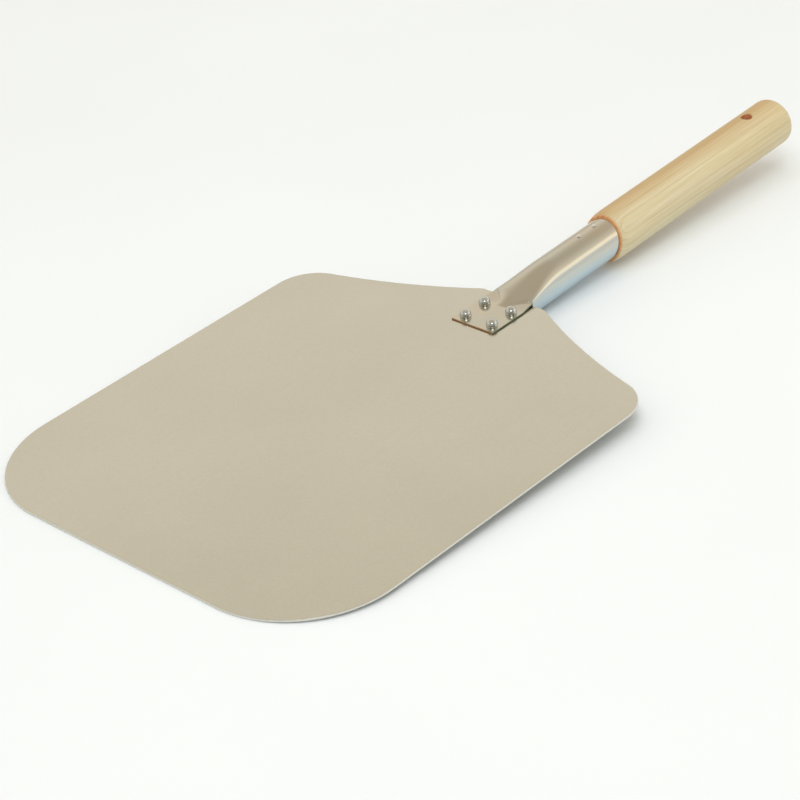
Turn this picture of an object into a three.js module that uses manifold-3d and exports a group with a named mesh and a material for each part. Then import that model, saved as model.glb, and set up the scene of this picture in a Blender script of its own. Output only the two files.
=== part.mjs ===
// Pizza peel: a sheet-metal blade, a steel ferrule riveted to it, and a turned wooden handle.
// Units are millimetres. +X runs along the handle, +Z is up, and the blade lies level.
// The origin is the centre of the blade's underside.
import * as THREE from "three";
import { mergeVertices } from "three/addons/utils/BufferGeometryUtils.js";
import Module from "manifold-3d";

const wasm = await Module();
wasm.setup();

// ---- Driving dimensions ----

// Blade: a flat sheet, 14 by 12 inches
const bladeLength = 355.6;
const bladeWidth = 304.8;
const bladeThickness = 1.6;
const frontCornerRadius = 72;
const shoulderRadius = 30;
const shoulderLength = 71; // from the end of the straight sides to the rear edge
const neckWidth = 50; // straight part of the rear edge
const neckCornerRadius = 7;
const neckCurveRadius = 440; // hollow curve between the shoulder and the neck

// Ferrule: a round tube, slit at its front end and flattened into a tang on the blade
const tubeRadius = 14.7;
const tubeWall = 1.2;
const tubeLength = 94.5; // from the blade's rear edge to the open mouth, on the axis
const mouthSlant = 14; // degrees that the mouth's cut leans forwards at its top
const tubeRise = 1.6; // degrees that the tube and the handle slope up
const axisHeight = -0.1; // the tube's axis above the blade's underside, at the rear edge
const stripAngle = 73; // half the arc of the tube that becomes the tang, in degrees
const tangLength = 42.5; // forwards from the blade's rear edge
const slitSpread = 1.5; // how far each side of the tube is pushed out where its slits end
const slitGap = 1.2; // how far the tang's edges have lifted off the blade where the slits end
const slitGapPower = 1.2; // above 1, the edges lift off late
const bulgeLength = 14; // the tang's middle starts to rise this far before the rear edge
const bulgeSoftStart = 0.02; // how gently the middle leaves the flat
const bulgeStartWidth = 0.25; // the bulge's share of the tang's width behind the rivets
const bulgeWidthPower = 1.6; // above 1, the bulge takes up the whole width late
const bulgePower = 0.65; // its section: 1 is a parabola, and less has steeper edges
const roundStart = 38; // behind the rear edge, where the tube is round again
const lowerGap = 0.5; // between the blade's rear edge and the lower half of the tube
const lipAngle = 40; // degrees below each slit over which its flared lip fades out

// Rivets that hold the tang to the blade
const rivetHeadRadius = 4;
const rivetHeadHeight = 4.8;
const rivetHeadFullness = 2.5; // 2 is an ellipse, and more is squarer
const rivetShankRadius = 2.4;
const rivetTailRadius = 3.6;
const rivetTailDepth = 0.8;
const rivetInset = 6.7; // from the tang's front edge to the front row
const rivetSpacingX = 19.3;
const rivetSpacingY = 23.2;
const rivetClearance = 0.1;
const headClearance = 0.3; // between the rear heads and where the tang starts to spread

// Handle: turned wood with a tenon inside the tube
const handleStep = 2.9; // how far the handle stands out past the tube
const handleLength = 206.8; // from the shoulder to the domed end
const shoulderDrop = 2; // how much thinner the handle is at its shoulder
const shoulderReach = 10; // the length over which it rounds out to full thickness
const domeLength = 10.2;
const domeFullness = 2;
const tenonLength = 50;
const tenonChamfer = 2;
const tenonClearance = 0.2;
const shoulderGap = 0.3;
const hangingHoleRadius = 4;
const hangingHoleFromEnd = 38.4;

// Pins that hold the tenon in the tube
const pinHeadRadius = 1.4;
const pinHeadHeight = 0.8;
const pinHeadFullness = 2;
const pinShankRadius = 0.8;
const pinLength = 12;
const pinFromMouth = 7.8;
const pinSpacing = 16.3;
const pinClearance = 0.1;
const pinTipLength = 2;
const pinSeatGap = 0.3; // under the head, which is flat and sits on a round tube

// ---- Fineness of the meshes ----

const curveSegments = 14;
const stripColumns = 20;
const lowerColumns = 24;
const rivetSegments = 32;
const rivetHeadSteps = 8;
const pinSegments = 20;
const pinHeadSteps = 5;
const handleSegments = 48;
const shoulderSteps = 6;
const domeSteps = 9;
const holeSegments = 32;
const cutOver = 1; // how far a cutter runs past the faces that it cuts

// ---- Worked-out places ----

const frontX = -bladeLength / 2;
const rearX = bladeLength / 2;
const tangFrontX = rearX - tangLength;
const tangTop = bladeThickness + tubeWall;
const handleRadius = tubeRadius + handleStep;
const slitX = rearX + lowerGap;
const roundX = rearX + roundStart;
const mouthX = rearX + tubeLength;
const bulgeX = rearX - bulgeLength;
const frontRivetX = tangFrontX + rivetInset;
const rearRivetX = frontRivetX + rivetSpacingX;
const spreadX = rearRivetX + rivetHeadRadius + headClearance;
const riseAngle = THREE.MathUtils.degToRad(tubeRise);
const stripHalfArc = THREE.MathUtils.degToRad(stripAngle);
const mouthLean = Math.tan(THREE.MathUtils.degToRad(mouthSlant));
const lipArc = THREE.MathUtils.degToRad(lipAngle);
const tangHalfWidth = stripHalfArc * (tubeRadius - tubeWall / 2); // the strip keeps its arc's width
const slitHalfWidth = tubeRadius + slitSpread;
const axisZ = (x) => axisHeight + (x - rearX) * Math.tan(riseAngle);

// ---- Solids ----

// A closed geometry, placed by its matrix, as a manifold solid.
function toSolid(geometry) {
  const bare = geometry.index ? geometry.toNonIndexed() : geometry.clone();
  bare.deleteAttribute("normal");
  bare.deleteAttribute("uv");
  const merged = mergeVertices(bare, 1e-4);
  return new wasm.Manifold(
    new wasm.Mesh({
      numProp: 3,
      vertProperties: merged.attributes.position.array,
      triVerts: new Uint32Array(merged.index.array),
    }),
  );
}

function toGeometry(solid) {
  const mesh = solid.getMesh();
  const geometry = new THREE.BufferGeometry();
  geometry.setAttribute("position", new THREE.BufferAttribute(mesh.vertProperties, mesh.numProp));
  geometry.setIndex(new THREE.BufferAttribute(mesh.triVerts, 1));
  geometry.computeVertexNormals();
  return geometry;
}

function cut(geometry, cutters) {
  return toGeometry(cutters.reduce((left, cutter) => left.subtract(toSolid(cutter)), toSolid(geometry)));
}

// A turned shape about +Z, from [radius, height] pairs that run up the outside.
function turned(profile, segments) {
  const points = profile.map(([radius, height]) => new THREE.Vector2(radius, height));
  return new THREE.LatheGeometry(points, segments).rotateX(Math.PI / 2);
}

function makeMesh(name, geometry, material) {
  const mesh = new THREE.Mesh(geometry, material);
  mesh.name = name;
  return mesh;
}

// ---- Materials ----

const aluminium = new THREE.MeshStandardMaterial({ color: 0xc8c0ac, roughness: 0.3, metalness: 1 });
const zincPlate = new THREE.MeshStandardMaterial({ color: 0xb4b4a8, roughness: 0.25, metalness: 1 });
const rivetMetal = new THREE.MeshStandardMaterial({ color: 0xd0d2d2, roughness: 0.2, metalness: 1 });
const pinMetal = new THREE.MeshStandardMaterial({ color: 0xd8d8d4, roughness: 0.25, metalness: 1 });
const pine = new THREE.MeshStandardMaterial({ color: 0xd7c799, roughness: 0.55, metalness: 0 });

// ---- Rivets ----

const rivetCentres = [frontRivetX, rearRivetX].flatMap((x) =>
  [-rivetSpacingY / 2, rivetSpacingY / 2].map((y) => [x, y]),
);

// A round head: a superellipse arc from its rim to its crown.
function headArc(radius, height, base, fullness, steps) {
  return Array.from({ length: steps + 1 }, (_, i) => {
    const angle = (i / steps) * (Math.PI / 2);
    const out = i === steps ? 0 : Math.cos(angle) ** (2 / fullness);
    return [radius * out, base + height * Math.sin(angle) ** (2 / fullness)];
  });
}

function rivet() {
  const profile = [
    [0, 0],
    [rivetTailRadius, 0],
    [rivetShankRadius, rivetTailDepth],
    [rivetShankRadius, tangTop],
    ...headArc(rivetHeadRadius, rivetHeadHeight, tangTop, rivetHeadFullness, rivetHeadSteps),
  ];
  return turned(profile, rivetSegments);
}

// The hole for a rivet's tail and shank, past both faces of what it goes through.
function rivetHole(x, y) {
  const shank = rivetShankRadius + rivetClearance;
  const tail = rivetTailRadius + rivetClearance;
  const profile = [
    [0, -cutOver],
    [tail, -cutOver],
    [tail, 0],
    [shank, rivetTailDepth + rivetClearance],
    [shank, tangTop + cutOver],
    [0, tangTop + cutOver],
  ];
  return turned(profile, rivetSegments).translate(x, y, 0);
}

// ---- Blade ----

// Where two circles about a and b cross, on the left of the way from a to b.
function crossing(a, radiusA, b, radiusB) {
  const span = b.clone().sub(a);
  const distance = span.length();
  const along = (distance ** 2 + radiusA ** 2 - radiusB ** 2) / (2 * distance);
  const aside = Math.sqrt(radiusA ** 2 - along ** 2);
  const direction = span.normalize();
  const left = new THREE.Vector2(-direction.y, direction.x);
  return a.clone().addScaledVector(direction, along).addScaledVector(left, aside);
}

function bladeOutline() {
  const halfWidth = bladeWidth / 2;
  const shoulder = new THREE.Vector2(rearX - shoulderLength, halfWidth - shoulderRadius);
  const neck = new THREE.Vector2(rearX - neckCornerRadius, neckWidth / 2);
  const hollow = crossing(
    shoulder,
    neckCurveRadius + shoulderRadius,
    neck,
    neckCurveRadius + neckCornerRadius,
  );
  const shoulderEnd = hollow.clone().sub(shoulder).angle();
  const neckStart = hollow.clone().sub(neck).angle();
  const front = frontX + frontCornerRadius;
  const side = halfWidth - frontCornerRadius;
  const shape = new THREE.Shape();
  shape.moveTo(rearX, -neck.y);
  shape.absarc(neck.x, neck.y, neckCornerRadius, 0, neckStart, false);
  shape.absarc(hollow.x, hollow.y, neckCurveRadius, neckStart + Math.PI, shoulderEnd + Math.PI, true);
  shape.absarc(shoulder.x, shoulder.y, shoulderRadius, shoulderEnd, Math.PI / 2, false);
  shape.absarc(front, side, frontCornerRadius, Math.PI / 2, Math.PI, false);
  shape.absarc(front, -side, frontCornerRadius, Math.PI, 1.5 * Math.PI, false);
  shape.absarc(shoulder.x, -shoulder.y, shoulderRadius, 1.5 * Math.PI, -shoulderEnd, false);
  shape.absarc(hollow.x, -hollow.y, neckCurveRadius, Math.PI - shoulderEnd, Math.PI - neckStart, true);
  shape.absarc(neck.x, -neck.y, neckCornerRadius, -neckStart, 0, false);
  return shape;
}

function blade() {
  const sheet = new THREE.ExtrudeGeometry(bladeOutline(), {
    depth: bladeThickness,
    bevelEnabled: false,
    curveSegments,
  });
  return cut(sheet, rivetCentres.map(([x, y]) => rivetHole(x, y)));
}

// ---- Ferrule ----

// 0 where the tang starts to bulge, 1 where the tube is round: the height of its top line.
function topRise(x) {
  const share = THREE.MathUtils.clamp((x - bulgeX) / (roundX - bulgeX), 0, 1);
  const softened = (share * share * (1 + bulgeSoftStart)) / (share + bulgeSoftStart);
  return Math.sin((Math.PI / 2) * softened);
}

// How far the tang has spread into its bulge: 0 behind the rivet heads, 1 where the slits end.
function spread(x) {
  return THREE.MathUtils.clamp((x - spreadX) / (slitX - spreadX), 0, 1);
}

// A point of the tang's upper surface: across runs from -1 to 1, edge to edge.
function stripPoint(x, across) {
  const along = spread(x);
  const halfWidth = THREE.MathUtils.lerp(tangHalfWidth, slitHalfWidth, along);
  const edgeHeight = tangTop + slitGap * along ** slitGapPower;
  const crown = THREE.MathUtils.lerp(tangTop, axisZ(roundX) + tubeRadius, topRise(x));
  const bulgeShare = THREE.MathUtils.lerp(bulgeStartWidth, 1, along ** bulgeWidthPower);
  const aside = THREE.MathUtils.lerp(across, Math.sin((across * Math.PI) / 2), along);
  const inside = Math.max(0, 1 - (aside / bulgeShare) ** 2);
  const height = edgeHeight + (crown - edgeHeight) * inside ** bulgePower;
  return new THREE.Vector2(aside * halfWidth, Math.max(height, edgeHeight));
}

// A point of the tube's outer surface behind the slits, at an angle from its top line.
// The slits leave the section spread, and it closes to a circle on the way to roundX.
function tubePoint(x, angle) {
  const round = new THREE.Vector2(Math.sin(angle), Math.cos(angle)).multiplyScalar(tubeRadius);
  const open = (1 - topRise(x)) / (1 - topRise(slitX));
  const base = new THREE.Vector2(0, axisZ(slitX));
  if (Math.abs(angle) <= stripHalfArc) {
    const spreadPoint = stripPoint(slitX, angle / stripHalfArc).sub(base);
    round.lerp(spreadPoint, open);
  } else {
    const fade = Math.max(0, 1 - (Math.abs(angle) - stripHalfArc) / lipArc) ** 2;
    const side = Math.sign(angle);
    const corner = stripPoint(slitX, side).sub(base);
    const roundCorner = new THREE.Vector2(side * Math.sin(stripHalfArc), Math.cos(stripHalfArc));
    round.addScaledVector(corner.addScaledVector(roundCorner, -tubeRadius), fade * open);
  }
  return round.setY(round.y + axisZ(x));
}

// Evenly spaced values from one end on, without the other end.
function spaced(from, to, count) {
  return Array.from({ length: count }, (_, i) => from + ((to - from) * i) / count);
}

// The stations along the ferrule, closer together where its surface turns.
function stations() {
  return [
    tangFrontX,
    ...spaced(bulgeX, spreadX, 5),
    ...spaced(spreadX, slitX, 8),
    ...spaced(slitX, roundX, 12),
    roundX,
    mouthX,
  ];
}

// A sheet of metal from two grids of points. A cell is there where the tube or the tang is,
// and a wall closes the sheet along every edge that has a cell on only one side.
function thickSheet(outer, inner, hasCell) {
  const rows = outer.length;
  const columns = outer[0].length;
  const points = [];
  const quad = (a, b, c, d) => points.push(a, c, b, a, d, c);
  const cell = (i, j) => i >= 0 && i < rows - 1 && hasCell(i, (j + columns) % columns);
  for (let i = 0; i < rows - 1; i += 1) {
    for (let j = 0; j < columns; j += 1) {
      if (cell(i, j)) {
        const next = (j + 1) % columns;
        const top = [outer[i][j], outer[i + 1][j], outer[i + 1][next], outer[i][next]];
        const below = [inner[i][j], inner[i + 1][j], inner[i + 1][next], inner[i][next]];
        quad(top[3], top[2], top[1], top[0]);
        quad(...below);
        if (!cell(i - 1, j)) quad(top[0], below[0], below[3], top[3]);
        if (!cell(i + 1, j)) quad(top[2], below[2], below[1], top[1]);
        if (!cell(i, j - 1)) quad(top[1], below[1], below[0], top[0]);
        if (!cell(i, j + 1)) quad(top[3], below[3], below[2], top[2]);
      }
    }
  }
  return new THREE.BufferGeometry().setFromPoints(points);
}

// The same section, moved in by the wall's thickness along its own normals.
function insetSection(section, closed) {
  return section.map((point, j) => {
    const last = section.length - 1;
    const before = section[j === 0 ? (closed ? last : 0) : j - 1];
    const after = section[j === last ? (closed ? 0 : last) : j + 1];
    const tangent = after.clone().sub(before).normalize();
    return new THREE.Vector2(tangent.y, -tangent.x).multiplyScalar(tubeWall).add(point);
  });
}

function ferrule() {
  const strip = [...spaced(-stripHalfArc, stripHalfArc, stripColumns), stripHalfArc];
  const lower = spaced(stripHalfArc, 2 * Math.PI - stripHalfArc, lowerColumns).slice(1);
  const wrapped = lower.map((angle) => (angle > Math.PI ? angle - 2 * Math.PI : angle));
  const angles = [...strip, ...wrapped];
  const xs = stations();
  const outer = [];
  const inner = [];
  xs.forEach((x) => {
    const isTube = x >= slitX;
    const section = isTube
      ? angles.map((angle) => tubePoint(x, angle))
      : strip.map((angle) => stripPoint(x, angle / stripHalfArc));
    const inset = insetSection(section, isTube);
    const squared = Math.tan(riseAngle) * THREE.MathUtils.smoothstep(x, slitX, roundX);
    const lean = x === mouthX ? squared - mouthLean : squared;
    const place = (point) =>
      new THREE.Vector3(x - (point.y - axisZ(x)) * lean, point.x, point.y);
    const fill = (list) => angles.map((_, j) => place(list[Math.min(j, list.length - 1)]));
    outer.push(fill(section));
    inner.push(fill(inset));
  });
  const slitRow = xs.indexOf(slitX);
  const sheet = thickSheet(outer, inner, (i, j) => i >= slitRow || j < stripColumns);
  return cut(sheet, [...rivetCentres.map(([x, y]) => rivetHole(x, y)), ...pinHoles()]);
}

// ---- Handle and pins, in the tube's own frame ----

// The tube's frame: its origin is on the axis at the blade's rear edge, and +X runs up the axis.
const tubeFrame = new THREE.Group();
tubeFrame.position.set(rearX, 0, axisHeight);
tubeFrame.rotation.y = -riseAngle;
tubeFrame.updateMatrix();

const mouth = tubeLength / Math.cos(riseAngle);
const shoulder = mouth + shoulderGap;
const handleEnd = shoulder + handleLength;
const pinPlaces = [0, 1].map((i) => mouth - pinFromMouth - i * pinSpacing);
const pinSeat = tubeRadius + pinSeatGap;

function pin() {
  const profile = [
    [0, -pinLength],
    [pinShankRadius, pinTipLength - pinLength],
    [pinShankRadius, 0],
    ...headArc(pinHeadRadius, pinHeadHeight, 0, pinHeadFullness, pinHeadSteps),
  ];
  return turned(profile, pinSegments);
}

// The hole for a pin, in the tube's frame.
function pinHole(place) {
  const radius = pinShankRadius + pinClearance;
  const depth = pinLength + pinClearance;
  const profile = [
    [0, -depth],
    [radius, -depth],
    [radius, cutOver],
    [0, cutOver],
  ];
  return turned(profile, pinSegments).translate(place, 0, pinSeat);
}

// The pins' holes in the part's frame, for the ferrule.
function pinHoles() {
  return pinPlaces.map((place) => pinHole(place).applyMatrix4(tubeFrame.matrix));
}

// Leans the shoulder like the tube's mouth. Its points move along the handle, so it stays round.
function leanShoulder(body) {
  const position = body.getAttribute("position");
  for (let i = 0; i < position.count; i += 1) {
    const fromShoulder = position.getX(i) - shoulder;
    if (fromShoulder > -shoulderGap && fromShoulder < shoulderReach + shoulderGap) {
      position.setX(i, position.getX(i) + mouthLean * position.getZ(i));
    }
  }
  return body;
}

function handle() {
  const tenonRadius = tubeRadius - tubeWall - tenonClearance;
  const tenonEnd = shoulder - tenonLength;
  const shoulderArc = Array.from({ length: shoulderSteps + 1 }, (_, i) => {
    const angle = (i / shoulderSteps) * (Math.PI / 2);
    return [
      handleRadius - shoulderDrop * (1 - Math.sin(angle)),
      shoulder + shoulderReach * (1 - Math.cos(angle)),
    ];
  });
  const profile = [
    [0, tenonEnd],
    [tenonRadius - tenonChamfer, tenonEnd],
    [tenonRadius, tenonEnd + tenonChamfer],
    [tenonRadius, shoulder],
    ...shoulderArc,
    ...headArc(handleRadius, domeLength, handleEnd - domeLength, domeFullness, domeSteps),
  ];
  const holeReach = handleRadius + cutOver;
  const holeProfile = [
    [0, -holeReach],
    [hangingHoleRadius, -holeReach],
    [hangingHoleRadius, holeReach],
    [0, holeReach],
  ];
  const hangingHole = turned(holeProfile, holeSegments);
  hangingHole.translate(handleEnd - hangingHoleFromEnd, 0, 0);
  const body = leanShoulder(turned(profile, handleSegments).rotateY(Math.PI / 2));
  return cut(body, [hangingHole, ...pinPlaces.map(pinHole)]);
}

// ---- Assembly ----

const peel = new THREE.Group();
peel.add(makeMesh("blade", blade(), aluminium));
peel.add(makeMesh("ferrule", ferrule(), zincPlate));
const rivetNames = ["rivet_front_right", "rivet_front_left", "rivet_rear_right", "rivet_rear_left"];
rivetCentres.forEach(([x, y], i) => {
  const mesh = makeMesh(rivetNames[i], rivet(), rivetMetal);
  mesh.position.set(x, y, 0);
  peel.add(mesh);
});
peel.add(tubeFrame);
tubeFrame.add(makeMesh("handle", handle(), pine));
["handle_pin_rear", "handle_pin_front"].forEach((name, i) => {
  const mesh = makeMesh(name, pin(), pinMetal);
  mesh.position.set(pinPlaces[i], 0, pinSeat);
  tubeFrame.add(mesh);
});

export default peel;
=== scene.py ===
"""Pizza peel: the looks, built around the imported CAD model. Units are metres."""
import math

import bmesh
import bpy
from mathutils import Matrix, Vector


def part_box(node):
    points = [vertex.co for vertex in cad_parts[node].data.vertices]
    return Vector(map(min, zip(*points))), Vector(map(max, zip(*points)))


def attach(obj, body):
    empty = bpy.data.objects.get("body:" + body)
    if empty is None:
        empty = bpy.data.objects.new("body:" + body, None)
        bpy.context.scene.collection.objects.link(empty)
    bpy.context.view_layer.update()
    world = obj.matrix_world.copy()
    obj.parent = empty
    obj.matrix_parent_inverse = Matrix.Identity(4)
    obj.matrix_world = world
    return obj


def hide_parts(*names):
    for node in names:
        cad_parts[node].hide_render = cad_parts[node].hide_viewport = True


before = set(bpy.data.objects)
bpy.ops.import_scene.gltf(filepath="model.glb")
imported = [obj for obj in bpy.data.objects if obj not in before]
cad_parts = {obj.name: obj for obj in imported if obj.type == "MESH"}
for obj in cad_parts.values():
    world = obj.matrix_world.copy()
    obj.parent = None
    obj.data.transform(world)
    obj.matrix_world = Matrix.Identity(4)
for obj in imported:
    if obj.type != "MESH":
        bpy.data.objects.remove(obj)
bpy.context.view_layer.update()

# ---- Sizes that the frame gives ----

BLADE_LOW, BLADE_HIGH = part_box("blade")
FRONT_X = BLADE_LOW.x
REAR_X = BLADE_HIGH.x
BLADE_HALF_WIDTH = BLADE_HIGH.y
BLADE_THICKNESS = BLADE_HIGH.z
TANG_FRONT_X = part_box("ferrule")[0].x
RIVET_NODES = [name for name in sorted(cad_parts) if name.startswith("rivet")]
PIN_NODES = [name for name in sorted(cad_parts) if name.startswith("handle_pin")]


def centre(node):
    low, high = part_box(node)
    return (low + high) / 2


RIVET_CENTRES = [centre(name) for name in RIVET_NODES]
REAR_RIVET_X = max(place.x for place in RIVET_CENTRES)

# ---- Sizes that repeat the CAD model's own ----

FRONT_CORNER_RADIUS = 0.072
SHOULDER_RADIUS = 0.030
SHOULDER_LENGTH = 0.071
NECK_WIDTH = 0.050
NECK_CORNER_RADIUS = 0.007
NECK_CURVE_RADIUS = 0.440

TUBE_RADIUS = 0.0147
TUBE_WALL = 0.0012
TUBE_LENGTH = 0.0945
MOUTH_LEAN = math.tan(math.radians(14))
TUBE_RISE = math.radians(1.6)
AXIS_HEIGHT = -0.0001
STRIP_HALF_ARC = math.radians(73)
SLIT_SPREAD = 0.0015
SLIT_GAP = 0.0012
SLIT_GAP_POWER = 1.2
BULGE_LENGTH = 0.014
BULGE_SOFT_START = 0.02
BULGE_START_WIDTH = 0.25
BULGE_WIDTH_POWER = 1.6
BULGE_POWER = 0.65
ROUND_START = 0.038
LOWER_GAP = 0.0005
LIP_ARC = math.radians(40)

RIVET_HEAD_RADIUS = 0.004
RIVET_HEAD_HEIGHT = 0.0048
RIVET_HEAD_FULLNESS = 2.5
RIVET_SHANK_RADIUS = 0.0024
RIVET_TAIL_RADIUS = 0.0036
RIVET_TAIL_DEPTH = 0.0008
RIVET_CLEARANCE = 0.0001
HEAD_CLEARANCE = 0.0003

HANDLE_RADIUS = 0.0176
HANDLE_LENGTH = 0.2068
SHOULDER_DROP = 0.002
SHOULDER_REACH = 0.010
DOME_LENGTH = 0.0102
TENON_LENGTH = 0.050
TENON_RADIUS = 0.0133
TENON_CHAMFER = 0.002
SHOULDER_GAP = 0.0003
HOLE_RADIUS = 0.004
HOLE_FROM_END = 0.0384

PIN_HEAD_RADIUS = 0.0014
PIN_HEAD_HEIGHT = 0.0008
PIN_SHANK_RADIUS = 0.0008
PIN_LENGTH = 0.012
PIN_SEAT_GAP = 0.0003

# ---- Places worked out from them ----

TANG_TOP = BLADE_THICKNESS + TUBE_WALL
SLIT_X = REAR_X + LOWER_GAP
ROUND_X = REAR_X + ROUND_START
MOUTH_X = REAR_X + TUBE_LENGTH
BULGE_X = REAR_X - BULGE_LENGTH
SPREAD_X = REAR_RIVET_X + RIVET_HEAD_RADIUS + HEAD_CLEARANCE
TANG_HALF_WIDTH = STRIP_HALF_ARC * (TUBE_RADIUS - TUBE_WALL / 2)
SLIT_HALF_WIDTH = TUBE_RADIUS + SLIT_SPREAD
SHOULDER = TUBE_LENGTH / math.cos(TUBE_RISE) + SHOULDER_GAP
HANDLE_END = SHOULDER + HANDLE_LENGTH
HOLE_PLACE = HANDLE_END - HOLE_FROM_END

# The tube's frame: its origin is on the axis at the blade's rear edge, and +X runs up the axis.
TUBE_FRAME = Matrix.Translation((REAR_X, 0, AXIS_HEIGHT)) @ Matrix.Rotation(-TUBE_RISE, 4, "Y")


def axis_z(x):
    return AXIS_HEIGHT + (x - REAR_X) * math.tan(TUBE_RISE)


def lerp(a, b, share):
    return a + (b - a) * share


def clamp(value):
    return min(1.0, max(0.0, value))


# ---- Meshes ----

def object_from(name, mesh, material, place=None):
    made = bpy.data.objects.new(name, mesh)
    bpy.context.scene.collection.objects.link(made)
    made.data.materials.append(material)
    if place is not None:
        made.matrix_world = place
    return made


def mesh_from(name, points, faces, smooth=True, slots=None):
    mesh = bpy.data.meshes.new(name)
    mesh.from_pydata([tuple(point) for point in points], [], faces)
    mesh.polygons.foreach_set("use_smooth", [smooth] * len(mesh.polygons))
    if slots:
        mesh.polygons.foreach_set("material_index", slots)
    mesh.update()
    return mesh


def soften(piece, width):
    """Rounds the sharp edges of a piece, as real metal and wood have them."""
    bevel = piece.modifiers.new("rounded_edges", "BEVEL")
    bevel.width = width
    bevel.segments = 3
    bevel.limit_method = "ANGLE"
    bevel.angle_limit = math.radians(40)
    bevel.harden_normals = True
    return piece


def turned(name, profile, segments, along="Z"):
    """A closed turned mesh from (radius, height) pairs that start and end on the axis."""
    points = []
    faces = []
    rings = []
    for radius, height in profile:
        if radius == 0:
            rings.append([len(points)])
            points.append((0, 0, height))
            continue
        rings.append(list(range(len(points), len(points) + segments)))
        for i in range(segments):
            turn = 2 * math.pi * i / segments
            points.append((radius * math.cos(turn), radius * math.sin(turn), height))
    for low, high in zip(rings, rings[1:]):
        for i in range(segments):
            j = (i + 1) % segments
            if len(low) == 1:
                faces.append((low[0], high[j], high[i]))
            elif len(high) == 1:
                faces.append((low[i], low[j], high[0]))
            else:
                faces.append((low[i], low[j], high[j], high[i]))
    if along == "X":
        points = [(z, y, -x) for x, y, z in points]
    return mesh_from(name, points, faces)


def arc(centre_point, radius, start, end, steps):
    """Points on an arc, both ends included."""
    turns = [lerp(start, end, i / steps) for i in range(steps + 1)]
    return [centre_point + radius * Vector((math.cos(turn), math.sin(turn))) for turn in turns]


# ---- Blade ----

def crossing(a, radius_a, b, radius_b):
    """Where two circles cross, on the left of the way from a to b."""
    span = b - a
    along = (span.length_squared + radius_a ** 2 - radius_b ** 2) / (2 * span.length)
    aside = math.sqrt(radius_a ** 2 - along ** 2)
    direction = span.normalized()
    return a + direction * along + Vector((-direction.y, direction.x)) * aside


def blade_outline(inset):
    """The blade's edge, anticlockwise from above, moved in by inset."""
    shoulder = Vector((REAR_X - SHOULDER_LENGTH, BLADE_HALF_WIDTH - SHOULDER_RADIUS))
    neck = Vector((REAR_X - NECK_CORNER_RADIUS, NECK_WIDTH / 2))
    hollow = crossing(
        shoulder,
        NECK_CURVE_RADIUS + SHOULDER_RADIUS,
        neck,
        NECK_CURVE_RADIUS + NECK_CORNER_RADIUS,
    )
    to_shoulder = math.atan2(*(hollow - shoulder).yx)
    to_neck = math.atan2(*(hollow - neck).yx)
    front = Vector((FRONT_X + FRONT_CORNER_RADIUS, BLADE_HALF_WIDTH - FRONT_CORNER_RADIUS))
    turn = math.pi
    half = [
        *arc(neck, NECK_CORNER_RADIUS - inset, 0, to_neck, 12),
        *arc(hollow, NECK_CURVE_RADIUS + inset, to_neck + turn, to_shoulder + turn, 40)[1:],
        *arc(shoulder, SHOULDER_RADIUS - inset, to_shoulder, turn / 2, 24)[1:],
        *arc(front, FRONT_CORNER_RADIUS - inset, turn / 2, turn, 48),
    ]
    return half + [Vector((point.x, -point.y)) for point in reversed(half)]


def blade_mesh():
    """The sheet with rounded edges and countersunk rivet holes. Its walls use the second material."""
    edge_round = 0.0003
    steps = 3
    hole_steps = 48
    bm = bmesh.new()

    def ring(points, height):
        return [bm.verts.new((point.x, point.y, height)) for point in points]

    def wall(low, high, edge):
        for i in range(len(low)):
            j = (i + 1) % len(low)
            face = bm.faces.new((low[i], low[j], high[j], high[i]))
            face.smooth = True
            face.material_index = edge

    levels = []
    for i in range(steps + 1):
        turn = i / steps * math.pi / 2
        levels.append((edge_round * (1 - math.sin(turn)), edge_round * (1 - math.cos(turn))))
    levels += [(inset, BLADE_THICKNESS - height) for inset, height in reversed(levels)]
    rims = [ring(blade_outline(inset), height) for inset, height in levels]
    for low, high in zip(rims, rims[1:]):
        wall(low, high, 1)

    low_rings = [rims[0]]
    high_rings = [rims[-1]]
    hole_levels = [
        (RIVET_TAIL_RADIUS + RIVET_CLEARANCE, 0),
        (RIVET_SHANK_RADIUS + RIVET_CLEARANCE, RIVET_TAIL_DEPTH + RIVET_CLEARANCE),
        (RIVET_SHANK_RADIUS + RIVET_CLEARANCE, BLADE_THICKNESS),
    ]
    for place in RIVET_CENTRES:
        circles = [
            ring(arc(place.xy, radius, 0, 2 * math.pi, hole_steps)[:-1], height)
            for radius, height in hole_levels
        ]
        for low, high in zip(circles, circles[1:]):
            wall(high, low, 1)
        low_rings.append(circles[0])
        high_rings.append(circles[-1])

    for rings, up in ((low_rings, False), (high_rings, True)):
        edges = []
        for loop in rings:
            for i, vertex in enumerate(loop):
                edges.append(bm.edges.get((vertex, loop[(i + 1) % len(loop)])))
        filled = bmesh.ops.triangle_fill(bm, use_beauty=True, use_dissolve=False, edges=edges)
        for face in filled["geom"]:
            if isinstance(face, bmesh.types.BMFace):
                face.smooth = False
                face.material_index = 0
                face.normal_update()
                if (face.normal.z > 0) != up:
                    face.normal_flip()
    mesh = bpy.data.meshes.new("blade_sheet")
    bm.to_mesh(mesh)
    bm.free()
    return mesh


# ---- Ferrule ----

def top_rise(x):
    """0 where the tang starts to bulge, 1 where the tube is round: the height of its top line."""
    share = clamp((x - BULGE_X) / (ROUND_X - BULGE_X))
    softened = share * share * (1 + BULGE_SOFT_START) / (share + BULGE_SOFT_START)
    return math.sin(math.pi / 2 * softened)


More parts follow.
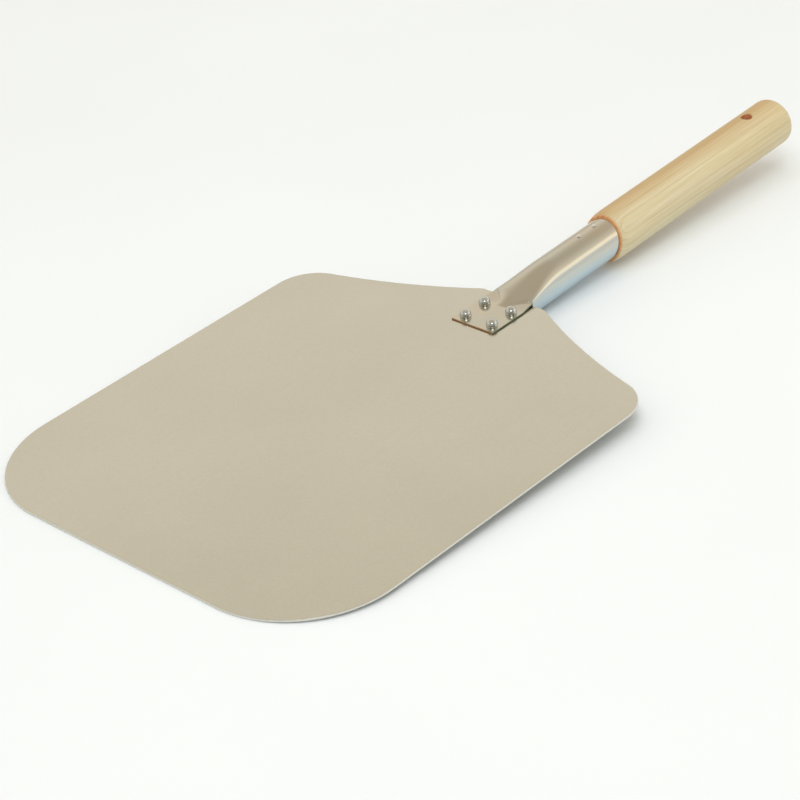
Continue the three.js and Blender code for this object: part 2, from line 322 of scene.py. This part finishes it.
def strip_point(x, across):
    """A point of the tang's upper surface, in (y, z): across runs from -1 to 1, edge to edge."""
    along = clamp((x - SPREAD_X) / (SLIT_X - SPREAD_X))
    half_width = lerp(TANG_HALF_WIDTH, SLIT_HALF_WIDTH, along)
    edge_height = TANG_TOP + SLIT_GAP * along ** SLIT_GAP_POWER
    crown = lerp(TANG_TOP, axis_z(ROUND_X) + TUBE_RADIUS, top_rise(x))
    bulge_share = lerp(BULGE_START_WIDTH, 1, along ** BULGE_WIDTH_POWER)
    aside = lerp(across, math.sin(across * math.pi / 2), along)
    inside = max(0.0, 1 - (aside / bulge_share) ** 2)
    height = edge_height + (crown - edge_height) * inside ** BULGE_POWER
    return Vector((aside * half_width, max(height, edge_height)))


def tube_point(x, angle):
    """A point of the tube's outer surface behind the slits, in (y, z), at an angle from its top."""
    point = TUBE_RADIUS * Vector((math.sin(angle), math.cos(angle)))
    opened = (1 - top_rise(x)) / (1 - top_rise(SLIT_X))
    base = Vector((0, axis_z(SLIT_X)))
    if abs(angle) <= STRIP_HALF_ARC:
        point = point.lerp(strip_point(SLIT_X, angle / STRIP_HALF_ARC) - base, opened)
    else:
        fade = max(0.0, 1 - (abs(angle) - STRIP_HALF_ARC) / LIP_ARC) ** 2
        side = math.copysign(1, angle)
        corner = strip_point(SLIT_X, side) - base
        round_corner = Vector((side * math.sin(STRIP_HALF_ARC), math.cos(STRIP_HALF_ARC)))
        point = point + (corner - TUBE_RADIUS * round_corner) * fade * opened
    return point + Vector((0, axis_z(x)))


def inset_section(section, closed):
    """The same section, moved in by the wall's thickness along its own normals."""
    last = len(section) - 1
    moved = []
    for j, point in enumerate(section):
        before = section[j - 1] if j > 0 or closed else section[0]
        after = section[(j + 1) % len(section)] if j < last or closed else section[last]
        tangent = (after - before).normalized()
        moved.append(point + TUBE_WALL * Vector((tangent.y, -tangent.x)))
    return moved


def spaced(start, end, count):
    return [start + (end - start) * i / count for i in range(count)]


def smoothstep(value, low, high):
    share = clamp((value - low) / (high - low))
    return share * share * (3 - 2 * share)


def ferrule_mesh():
    strip_columns = 56
    lower_columns = 64
    angles = [STRIP_HALF_ARC * (2 * j / strip_columns - 1) for j in range(strip_columns + 1)]
    lower_arc = 2 * (math.pi - STRIP_HALF_ARC)
    for j in range(1, lower_columns):
        angle = STRIP_HALF_ARC + lower_arc * j / lower_columns
        angles.append(angle - 2 * math.pi if angle > math.pi else angle)
    columns = len(angles)
    xs = [
        *spaced(TANG_FRONT_X, BULGE_X, 12),
        *spaced(BULGE_X, SPREAD_X, 14),
        *spaced(SPREAD_X, SLIT_X, 22),
        *spaced(SLIT_X, ROUND_X, 40),
        *spaced(ROUND_X, MOUTH_X, 24),
        MOUTH_X,
    ]
    slit_row = xs.index(SLIT_X)
    grids = ([], [])
    for x in xs:
        tube = x >= SLIT_X
        if tube:
            section = [tube_point(x, angle) for angle in angles]
        else:
            section = [strip_point(x, a / STRIP_HALF_ARC) for a in angles[: strip_columns + 1]]
        lean = math.tan(TUBE_RISE) * smoothstep(x, SLIT_X, ROUND_X)
        lean -= MOUTH_LEAN * clamp((x - ROUND_X) / (MOUTH_X - ROUND_X))
        for grid, points in zip(grids, (section, inset_section(section, tube))):
            grid.append([Vector((x - (p.y - axis_z(x)) * lean, p.x, p.y)) for p in points])

    def has_cell(i, j):
        return 0 <= i < len(xs) - 1 and (i >= slit_row or j % columns < strip_columns)

    points = []
    index = {}

    def at(side, i, j):
        key = (side, i, j % columns)
        if key not in index:
            index[key] = len(points)
            points.append(grids[side][i][j % columns])
        return index[key]

    faces = []
    end_walls = []
    side_walls = []
    for i in range(len(xs) - 1):
        for j in range(columns):
            if not has_cell(i, j):
                continue
            top = [at(0, i, j), at(0, i, j + 1), at(0, i + 1, j + 1), at(0, i + 1, j)]
            low = [at(1, i, j), at(1, i, j + 1), at(1, i + 1, j + 1), at(1, i + 1, j)]
            faces.append(top)
            faces.append(low[::-1])
            if not has_cell(i - 1, j):
                end_walls.append((top[0], low[0], low[1], top[1]))
            if not has_cell(i + 1, j):
                end_walls.append((top[2], low[2], low[3], top[3]))
            if not has_cell(i, j - 1):
                side_walls.append((top[3], low[3], low[0], top[0]))
            if not has_cell(i, j + 1):
                side_walls.append((top[1], low[1], low[2], top[2]))
    slots = [0] * len(faces) + [1] * len(end_walls) + [2] * len(side_walls)
    return mesh_from("ferrule_tube", points, faces + end_walls + side_walls, slots=slots)


# ---- Rivets, pins and handle ----

def head_arc(radius, height, base, steps, fullness=2.0):
    """A round head: a superellipse from its rim to its crown. More fullness flattens the crown."""
    made = []
    for i in range(steps + 1):
        turn = i / steps * math.pi / 2
        out = radius * math.cos(turn) ** (2 / fullness) if i < steps else 0
        made.append((out, base + height * math.sin(turn) ** (2 / fullness)))
    return made


def rivet_mesh(name):
    rim = 0.0002
    profile = [
        (0, 0),
        (RIVET_TAIL_RADIUS - rim, 0),
        (RIVET_TAIL_RADIUS, rim / 2),
        (RIVET_SHANK_RADIUS, RIVET_TAIL_DEPTH),
        (RIVET_SHANK_RADIUS, TANG_TOP),
        (RIVET_HEAD_RADIUS - rim, TANG_TOP),
        (RIVET_HEAD_RADIUS, TANG_TOP + rim),
        *head_arc(
            RIVET_HEAD_RADIUS, RIVET_HEAD_HEIGHT - 2 * rim, TANG_TOP + 2 * rim, 18, RIVET_HEAD_FULLNESS
        ),
    ]
    return turned(name, profile, 64)


def pin_mesh(name):
    tip = 0.002
    profile = [
        (0, -PIN_LENGTH),
        (PIN_SHANK_RADIUS, tip - PIN_LENGTH),
        (PIN_SHANK_RADIUS, 0),
        *head_arc(PIN_HEAD_RADIUS, PIN_HEAD_HEIGHT, 0, 12),
    ]
    return turned(name, profile, 40)


def handle_mesh():
    steps = 14
    shoulder = []
    for i in range(steps + 1):
        turn = i / steps * math.pi / 2
        shoulder.append((
            HANDLE_RADIUS - SHOULDER_DROP * (1 - math.sin(turn)),
            SHOULDER + SHOULDER_REACH * (1 - math.cos(turn)),
        ))
    body_start = SHOULDER + SHOULDER_REACH
    body_end = HANDLE_END - DOME_LENGTH
    profile = [
        (0, SHOULDER - TENON_LENGTH),
        (TENON_RADIUS - TENON_CHAMFER, SHOULDER - TENON_LENGTH),
        (TENON_RADIUS, SHOULDER - TENON_LENGTH + TENON_CHAMFER),
        (TENON_RADIUS, SHOULDER),
        *shoulder,
        *[(HANDLE_RADIUS, place) for place in spaced(body_start, body_end, 60)[1:]],
        *head_arc(HANDLE_RADIUS, DOME_LENGTH, body_end, 24),
    ]
    mesh = turned("handle_turned", profile, 160, along="X")
    # The shoulder leans like the tube's mouth, and the lean fades out along the handle
    for vertex in mesh.vertices:
        if vertex.co.x > SHOULDER - TENON_CHAMFER:
            fade = clamp(1 - (vertex.co.x - SHOULDER - SHOULDER_REACH) / HANDLE_RADIUS)
            vertex.co.x += MOUTH_LEAN * vertex.co.z * fade
    return mesh


def drill(piece, radius, place, length):
    """Cuts a hole along the tube frame's Z through a piece, and leaves the cut mesh on it."""
    profile = [(0, -length / 2), (radius, -length / 2), (radius, length / 2), (0, length / 2)]
    cutter = object_from("cutter", turned("cutter", profile, 96), piece.data.materials[0])
    cutter.matrix_world = piece.matrix_world @ Matrix.Translation((place, 0, 0))
    boolean = piece.modifiers.new("hole", "BOOLEAN")
    boolean.solver = "EXACT"
    boolean.object = cutter
    bpy.context.view_layer.update()
    depsgraph = bpy.context.evaluated_depsgraph_get()
    drilled = bpy.data.meshes.new_from_object(piece.evaluated_get(depsgraph))
    piece.modifiers.clear()
    piece.data = drilled
    bpy.data.objects.remove(cutter)


# ---- Materials ----

def new_material(name, metallic):
    """A material, its node tree and its shader."""
    material = bpy.data.materials.new(name)
    material.use_nodes = True
    shader = material.node_tree.nodes["Principled BSDF"]
    shader.inputs["Metallic"].default_value = metallic
    return material, material.node_tree, shader


def node(tree, kind, values=(), **settings):
    """Adds a node. values pairs its sockets with numbers or with other nodes' outputs."""
    made = tree.nodes.new(kind)
    for setting, value in settings.items():
        setattr(made, setting, value)
    for socket, value in dict(values).items():
        if isinstance(value, bpy.types.NodeSocket):
            tree.links.new(value, made.inputs[socket])
        else:
            made.inputs[socket].default_value = value
    return made


def maths(tree, operation, a, b=0.0):
    return node(tree, "ShaderNodeMath", {0: a, 1: b}, operation=operation).outputs[0]


def grain(tree, scale, stretch=(1, 1, 1), detail=3.0, roughness=0.5, distortion=0.0):
    """Noise in object space, drawn out by the inverse of stretch along each axis."""
    place = node(tree, "ShaderNodeTexCoord").outputs["Object"]
    mapped = node(tree, "ShaderNodeMapping", {"Vector": place, "Scale": stretch})
    values = {
        "Vector": mapped.outputs[0],
        "Scale": scale,
        "Detail": detail,
        "Roughness": roughness,
        "Distortion": distortion,
    }
    return node(tree, "ShaderNodeTexNoise", values).outputs[0]


def remap(tree, value, low, high, to_low=0.0, to_high=1.0):
    values = {"Value": value, 1: low, 2: high, 3: to_low, 4: to_high}
    return node(tree, "ShaderNodeMapRange", values, clamp=True).outputs[0]


def blend(tree, share, a, b):
    """Mixes two colours by share."""
    mix = node(tree, "ShaderNodeMix", data_type="RGBA")
    for socket, value in ((0, share), (6, a), (7, b)):
        if isinstance(value, bpy.types.NodeSocket):
            tree.links.new(value, mix.inputs[socket])
        else:
            mix.inputs[socket].default_value = value
    return mix.outputs[2]


def colour(red, green, painted_cool_reflection):
    """A display colour, 0 to 255, as the linear colour that a shader takes."""
    linear = []
    for level in (red, green, painted_cool_reflection):
        level /= 255
        linear.append(level / 12.92 if level <= 0.04045 else ((level + 0.055) / 1.055) ** 2.4)
    return (*linear, 1.0)


def bump(tree, shader, height, strength, distance):
    values = {"Height": height, "Strength": strength, "Distance": distance}
    made = node(tree, "ShaderNodeBump", values)
    tree.links.new(made.outputs[0], shader.inputs["Normal"])


def weighted(tree, a, weight_a, b, weight_b):
    """The sum of two values, each times its weight."""
    parts = [maths(tree, "MULTIPLY", value, weight) for value, weight in ((a, weight_a), (b, weight_b))]
    return maths(tree, "ADD", *parts)


def hypotenuse(tree, a, b):
    squares = [maths(tree, "POWER", value, 2) for value in (a, b)]
    return maths(tree, "SQRT", maths(tree, "ADD", *squares))


def object_place(tree):
    """The object-space X, Y and Z of a point."""
    place = node(tree, "ShaderNodeTexCoord").outputs["Object"]
    return node(tree, "ShaderNodeSeparateXYZ", {0: place}).outputs


def blade_material():
    """Satin rolled aluminium: fine lines along its length, faint clouds and a few rubs."""
    material, tree, shader = new_material("satin_aluminium", 1.0)
    clouds = grain(tree, 9, detail=4)
    speckle = grain(tree, 900, detail=3)
    rolled = grain(tree, 900, stretch=(0.012, 1, 1), detail=4, roughness=0.6)
    rubs = grain(tree, 220, stretch=(0.05, 1, 1), detail=6, roughness=0.75, distortion=0.4)
    tone = weighted(tree, clouds, 0.6, speckle, 0.4)
    base = blend(tree, remap(tree, tone, 0.35, 0.65), colour(202, 199, 186), colour(209, 206, 193))
    tree.links.new(base, shader.inputs["Base Color"])
    worn = remap(tree, rubs, 0.62, 0.8)
    rolled_rough = remap(tree, rolled, 0.3, 0.7, 0.11, 0.16)
    rough = maths(tree, "ADD", rolled_rough, maths(tree, "MULTIPLY", worn, 0.06))
    rough = maths(tree, "ADD", rough, remap(tree, clouds, 0.3, 0.7, -0.015, 0.03))
    tree.links.new(rough, shader.inputs["Roughness"])
    height = maths(tree, "ADD", rolled, maths(tree, "MULTIPLY", speckle, 0.5))
    bump(tree, shader, height, 0.025, 0.0001)
    return material


def cut_edge_material():
    """The sheet's sheared and filed edge: brighter and rougher than its face."""
    material, tree, shader = new_material("cut_aluminium", 1.0)
    marks = grain(tree, 700, stretch=(1, 1, 6), detail=4)
    base = blend(tree, remap(tree, marks, 0.3, 0.7), colour(208, 207, 198), colour(230, 229, 222))
    tree.links.new(base, shader.inputs["Base Color"])
    tree.links.new(remap(tree, marks, 0.3, 0.7, 0.28, 0.42), shader.inputs["Roughness"])
    bump(tree, shader, marks, 0.2, 0.0001)
    return material


def zinc_material():
    """Bright zinc plate with faint yellow passivation and drawn lines along the tube, with a painted
    bluish reflection down the tube's sides.
    """
    material, tree, shader = new_material("zinc_plate", 1.0)
    patches = grain(tree, 55, stretch=(0.35, 1, 1), detail=5, roughness=0.6, distortion=0.6)
    tints = grain(tree, 30, stretch=(0.5, 1, 1.3), detail=3, distortion=1.2)
    drawn = grain(tree, 1300, stretch=(0.02, 1, 1), detail=3)
    warm = blend(tree, remap(tree, patches, 0.32, 0.68), colour(208, 200, 184), colour(204, 196, 181))
    warm = blend(tree, remap(tree, tints, 0.45, 0.75), warm, colour(200, 200, 189))
    # Painted reflection: the tube runs bluer down its sides behind the slits, standing in for the cool
    # floor that they mirror
    parts = object_place(tree)
    height = maths(tree, "ADD", parts["Z"], maths(tree, "MULTIPLY", tints, 0.004))
    behind_slits = remap(tree, parts["X"], SLIT_X - 0.004, SLIT_X + 0.004)
    painted_cool_reflection = maths(tree, "MULTIPLY", remap(tree, height, 0.001, 0.010, 1, 0), behind_slits)
    base = blend(tree, painted_cool_reflection, warm, colour(190, 206, 212))
    tree.links.new(base, shader.inputs["Base Color"])
    patch_rough = remap(tree, patches, 0.3, 0.7, 0.12, 0.18)
    drawn_rough = remap(tree, drawn, 0.3, 0.7, -0.01, 0.02)
    tree.links.new(maths(tree, "ADD", patch_rough, drawn_rough), shader.inputs["Roughness"])
    dents = weighted(tree, patches, 1.2, drawn, 0.3)
    bump(tree, shader, dents, 0.12, 0.0002)
    return material


def sheared_material(name, dark, light):
    """One of the ferrule's sheared edges: dull bare steel with stains, and painted shade that darkens it
    low down, where it sits on the blade.
    """
    material, tree, shader = new_material(name, 0.4)
    stains = grain(tree, 260, detail=4, roughness=0.7)
    shear = grain(tree, 1500, detail=3)
    tone = weighted(tree, stains, 0.7, shear, 0.3)
    base = blend(tree, remap(tree, tone, 0.35, 0.65), dark, light)
    # Painted shade: the edge darkens towards its foot, where it meets the blade
    dark_below = BLADE_THICKNESS + 0.3 * TUBE_WALL
    light_above = BLADE_THICKNESS + 0.6 * TUBE_WALL
    painted_foot_shade = remap(tree, object_place(tree)["Z"], dark_below, light_above, 0.9, 0)
    base = blend(tree, painted_foot_shade, base, (*[0.3 * level for level in dark[:3]], 1.0))
    tree.links.new(base, shader.inputs["Base Color"])
    tree.links.new(remap(tree, shear, 0.3, 0.7, 0.3, 0.5), shader.inputs["Roughness"])
    bump(tree, shader, shear, 0.2, 0.0001)
    return material


def bright_material(name, dark, light, rough_low, rough_high):
    """Bright pressed metal with small forming marks."""
    material, tree, shader = new_material(name, 1.0)
    marks = grain(tree, 900, detail=5, roughness=0.65)
    base = blend(tree, remap(tree, marks, 0.3, 0.7), dark, light)
    tree.links.new(base, shader.inputs["Base Color"])
    tree.links.new(remap(tree, marks, 0.35, 0.7, rough_low, rough_high), shader.inputs["Roughness"])
    bump(tree, shader, marks, 0.1, 0.0001)
    return material


def wood_material():
    """Pale pine: growth rings cut lengthwise, fine fibres, and scorched drilling and shoulder."""
    ring_spacing = 0.0015
    material, tree, shader = new_material("pine", 0.0)
    parts = object_place(tree)
    wander = grain(tree, 14, stretch=(0.12, 1.5, 1.5), detail=3, roughness=0.55)
    fibre = grain(tree, 900, stretch=(0.014, 1, 1), detail=5, roughness=0.75)
    streak = grain(tree, 240, stretch=(0.025, 1, 1), detail=5, roughness=0.65, distortion=0.2)
    # Distance from the tree's middle, which runs along the handle well outside it
    across = maths(tree, "SUBTRACT", parts["Y"], 0.120)
    down = maths(tree, "ADD", parts["Z"], 0.090)
    radius = maths(tree, "ADD", hypotenuse(tree, across, down), maths(tree, "MULTIPLY", wander, 0.0016))
    ring = maths(tree, "FRACT", maths(tree, "MULTIPLY", radius, 1 / ring_spacing))
    late = maths(tree, "POWER", ring, 3.0)
    late = maths(tree, "MULTIPLY", late, remap(tree, ring, 0.93, 1.0, 1.0, 0.0))
    early_wood = blend(tree, remap(tree, streak, 0.3, 0.7), colour(228, 221, 192), colour(210, 199, 160))
    body = blend(tree, maths(tree, "MULTIPLY", late, 0.38), early_wood, colour(186, 158, 108))
    warm = remap(tree, grain(tree, 22, stretch=(0.25, 1, 1), detail=2), 0.45, 0.75, 0, 0.4)
    body = blend(tree, warm, body, colour(214, 186, 132))
    # Painted shade: the handle's far side, towards +Y, is darkened and warmed
    far_side_shade = remap(tree, parts["Y"], -0.012, 0.002, 0, 0.85)
    body = blend(tree, far_side_shade, body, colour(188, 156, 106))
    body = blend(tree, remap(tree, fibre, 0.42, 0.68, 0, 0.34), body, colour(172, 140, 88))
    on_top = remap(tree, parts["Y"], -0.012, -0.004, 0, 0.6)
    dark_streak = maths(tree, "MULTIPLY", remap(tree, streak, 0.56, 0.72), on_top)
    body = blend(tree, dark_streak, body, colour(178, 132, 78))
    # Scorched wood round the hanging hole and on the shoulder
    along = maths(tree, "SUBTRACT", parts["X"], HOLE_PLACE)
    from_hole = hypotenuse(tree, along, parts["Y"])
    ragged = maths(tree, "MULTIPLY", streak, 0.0012)
    from_hole = maths(tree, "SUBTRACT", from_hole, ragged)
    in_hole = remap(tree, from_hole, HOLE_RADIUS - 0.0006, HOLE_RADIUS - 0.0001, 1, 0)
    body = blend(tree, in_hole, body, blend(tree, streak, colour(120, 58, 22), colour(208, 118, 62)))
    leaning = maths(tree, "SUBTRACT", parts["X"], maths(tree, "MULTIPLY", parts["Z"], MOUTH_LEAN))
    blotch = grain(tree, 420, detail=4, roughness=0.7)
    from_shoulder = maths(tree, "SUBTRACT", leaning, maths(tree, "MULTIPLY", blotch, 0.0022))
    scorch = remap(tree, from_shoulder, SHOULDER - 0.0012, SHOULDER + 0.0003, 0.9, 0)
    burnt = blend(tree, remap(tree, blotch, 0.35, 0.65), colour(176, 98, 44), colour(226, 166, 104))
    body = blend(tree, scorch, body, burnt)
    tree.links.new(body, shader.inputs["Base Color"])
    fibre_rough = remap(tree, fibre, 0.3, 0.7, 0.42, 0.56)
    rough = maths(tree, "ADD", fibre_rough, maths(tree, "MULTIPLY", late, -0.06))
    tree.links.new(rough, shader.inputs["Roughness"])
    height = weighted(tree, fibre, 0.6, late, 0.5)
    bump(tree, shader, height, 0.22, 0.0002)
    return material


def floor_material():
    material, tree, shader = new_material("pale_floor", 0.0)
    tone = remap(tree, grain(tree, 3, detail=2), 0.3, 0.7)
    base = blend(tree, tone, (0.83, 0.87, 0.91, 1), (0.85, 0.89, 0.93, 1))
    tree.links.new(base, shader.inputs["Base Color"])
    tree.links.new(remap(tree, tone, 0, 1, 0.75, 0.85), shader.inputs["Roughness"])
    return material


# ---- Camera, light and floor ----

def make_camera():
    place = Vector((-0.8836, -0.9910, 0.8387))
    azimuth = math.radians(46.34)
    down = math.radians(31.98)
    roll = math.radians(-6.90)
    forward = Vector((
        math.cos(down) * math.cos(azimuth),
        math.cos(down) * math.sin(azimuth),
        -math.sin(down),
    ))
    level = Vector((math.sin(azimuth), -math.cos(azimuth), 0))
    upright = level.cross(forward)
    right = level * math.cos(roll) + upright * math.sin(roll)
    up = right.cross(forward)
    camera = bpy.data.objects.new("camera", bpy.data.cameras.new("camera"))
    bpy.context.scene.collection.objects.link(camera)
    camera.data.sensor_width = 36
    camera.data.lens = 112.74
    camera.data.clip_end = 50
    turn = Matrix((right, up, -forward)).transposed().to_4x4()
    camera.matrix_world = Matrix.Translation(place) @ turn
    bpy.context.scene.camera = camera


def softbox(name, angles, distance, size, radiance, tint):
    """An area light that faces the object. angles are its azimuth and elevation in degrees."""
    target = Vector((0.1, 0, 0))
    azimuth, elevation = (math.radians(angle) for angle in angles)
    direction = Vector((
        math.cos(elevation) * math.cos(azimuth),
        math.cos(elevation) * math.sin(azimuth),
        math.sin(elevation),
    ))
    light = bpy.data.objects.new(name, bpy.data.lights.new(name, "AREA"))
    bpy.context.scene.collection.objects.link(light)
    light.data.shape = "RECTANGLE"
    light.data.size, light.data.size_y = size
    light.data.energy = radiance * math.pi * size[0] * size[1]
    light.data.color = tint
    turn = (-direction).to_track_quat("-Z", "Y").to_matrix().to_4x4()
    light.matrix_world = Matrix.Translation(target + direction * distance) @ turn
    return light


def facing(tree, direction, way):
    """How far a direction turns towards way: the dot product of the two."""
    made = node(tree, "ShaderNodeVectorMath", {0: direction, 1: way}, operation="DOT_PRODUCT")
    return made.outputs["Value"]


def make_world():
    """A beige room: cool low on the right, tan overhead, and dim at the front but for a glow."""
    world = bpy.data.worlds.new("studio")
    bpy.context.scene.world = world
    world.use_nodes = True
    tree = world.node_tree
    direction = node(tree, "ShaderNodeTexCoord").outputs["Generated"]
    up = node(tree, "ShaderNodeSeparateXYZ", {0: direction}).outputs["Z"]
    to_right = remap(tree, facing(tree, direction, (0.69, -0.72, 0)), 0.15, 0.7)
    low = blend(tree, to_right, (0.74, 0.69, 0.60, 1), (0.88, 0.95, 1.0, 1))
    sky = blend(tree, remap(tree, up, 0.12, 0.40), low, (0.98, 0.92, 0.81, 1))
    sky = blend(tree, remap(tree, up, 0.54, 0.80), sky, (0.66, 0.585, 0.475, 1))
    to_front = remap(tree, facing(tree, direction, (-0.69, -0.72, 0)), 0.25, 0.8, 0, 0.8)
    sky = blend(tree, to_front, sky, (0.26, 0.24, 0.20, 1))
    glow = remap(tree, facing(tree, direction, (-0.50, -0.55, 0.67)), 0.955, 0.985)
    sky = blend(tree, glow, sky, (3.0, 3.05, 3.0, 1))
    background = tree.nodes["Background"]
    tree.links.new(sky, background.inputs["Color"])
    background.inputs["Strength"].default_value = 0.95


def make_floor():
    """A floor that the peel lies on: it touches the blade's front edge and the tube's front."""
    low = axis_z(SLIT_X) - TUBE_RADIUS
    slope = math.atan2(-low, SLIT_X - FRONT_X)
    reach = 6
    corners = [(-reach, -reach, 0), (reach, -reach, 0), (reach, reach, 0), (-reach, reach, 0)]
    floor = object_from("floor", mesh_from("floor", corners, [(0, 1, 2, 3)], False), floor_material())
    floor.matrix_world = Matrix.Translation((FRONT_X, 0, 0)) @ Matrix.Rotation(slope, 4, "Y")


def make_lights():
    make_world()
    softbox("key", (-47, 20), distance=2.0, size=(1.5, 0.46), radiance=0.5, tint=(1.0, 0.96, 0.78))
    cool = (0.92, 0.97, 1.0)
    front = softbox("front", (226, 62), distance=2.5, size=(1.1, 0.8), radiance=3.2, tint=cool)
    overhead = softbox("overhead", (0, 88), distance=2.5, size=(2.4, 2.4), radiance=1.25, tint=cool)
    for light in (front, overhead):
        light.visible_glossy = False
    bpy.context.scene.view_settings.view_transform = "Standard"


# ---- Assembly ----

def add_piece(piece, slot, *nodes):
    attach(piece, "root")
    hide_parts(*nodes)


def make_peel():
    blade = object_from("blade_sheet", blade_mesh(), blade_material())
    blade.data.materials.append(cut_edge_material())
    add_piece(blade, "blade_aluminium", "blade")

    ferrule = soften(object_from("ferrule_tube", ferrule_mesh(), zinc_material()), 0.00015)
    # Painted light and shade: the same sheared steel in two tones by which way its walls face, tan on
    # the end walls and darker on the side walls
    lit_end_steel = sheared_material("sheared_end_painted_light", colour(186, 142, 102), colour(232, 200, 162))
    shaded_side_steel = sheared_material("sheared_side_painted_shade", colour(112, 124, 106), colour(160, 168, 148))
    for edge in (lit_end_steel, shaded_side_steel):
        ferrule.data.materials.append(edge)
    add_piece(ferrule, "zinc_plate", "ferrule")

    rivet_tones = (colour(186, 190, 187), colour(216, 219, 215))
    rivet_metal = bright_material("bright_rivet", *rivet_tones, 0.11, 0.17)
    for name, place in zip(RIVET_NODES, RIVET_CENTRES):
        piece = object_from(name + "_formed", rivet_mesh(name), rivet_metal)
        piece.matrix_world = Matrix.Translation((place.x, place.y, 0))
        add_piece(piece, "rivet_metal", name)

    pin_tones = (colour(232, 232, 228), colour(248, 248, 244))
    pin_metal = bright_material("bright_pin", *pin_tones, 0.30, 0.40)
    for name in PIN_NODES:
        low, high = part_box(name)
        along = (TUBE_FRAME.inverted() @ Vector(((low.x + high.x) / 2, 0, (low.z + high.z) / 2))).x
        seat = Matrix.Translation((along, 0, TUBE_RADIUS + PIN_SEAT_GAP))
        piece = object_from(name + "_formed", pin_mesh(name), pin_metal, TUBE_FRAME @ seat)
        add_piece(piece, "pin_metal", name)

    handle = object_from("handle_turned", handle_mesh(), wood_material(), TUBE_FRAME)
    drill(handle, HOLE_RADIUS, HOLE_PLACE, 3 * HANDLE_RADIUS)
    add_piece(handle, "handle_wood", "handle")


make_camera()
make_lights()
make_floor()
make_peel()
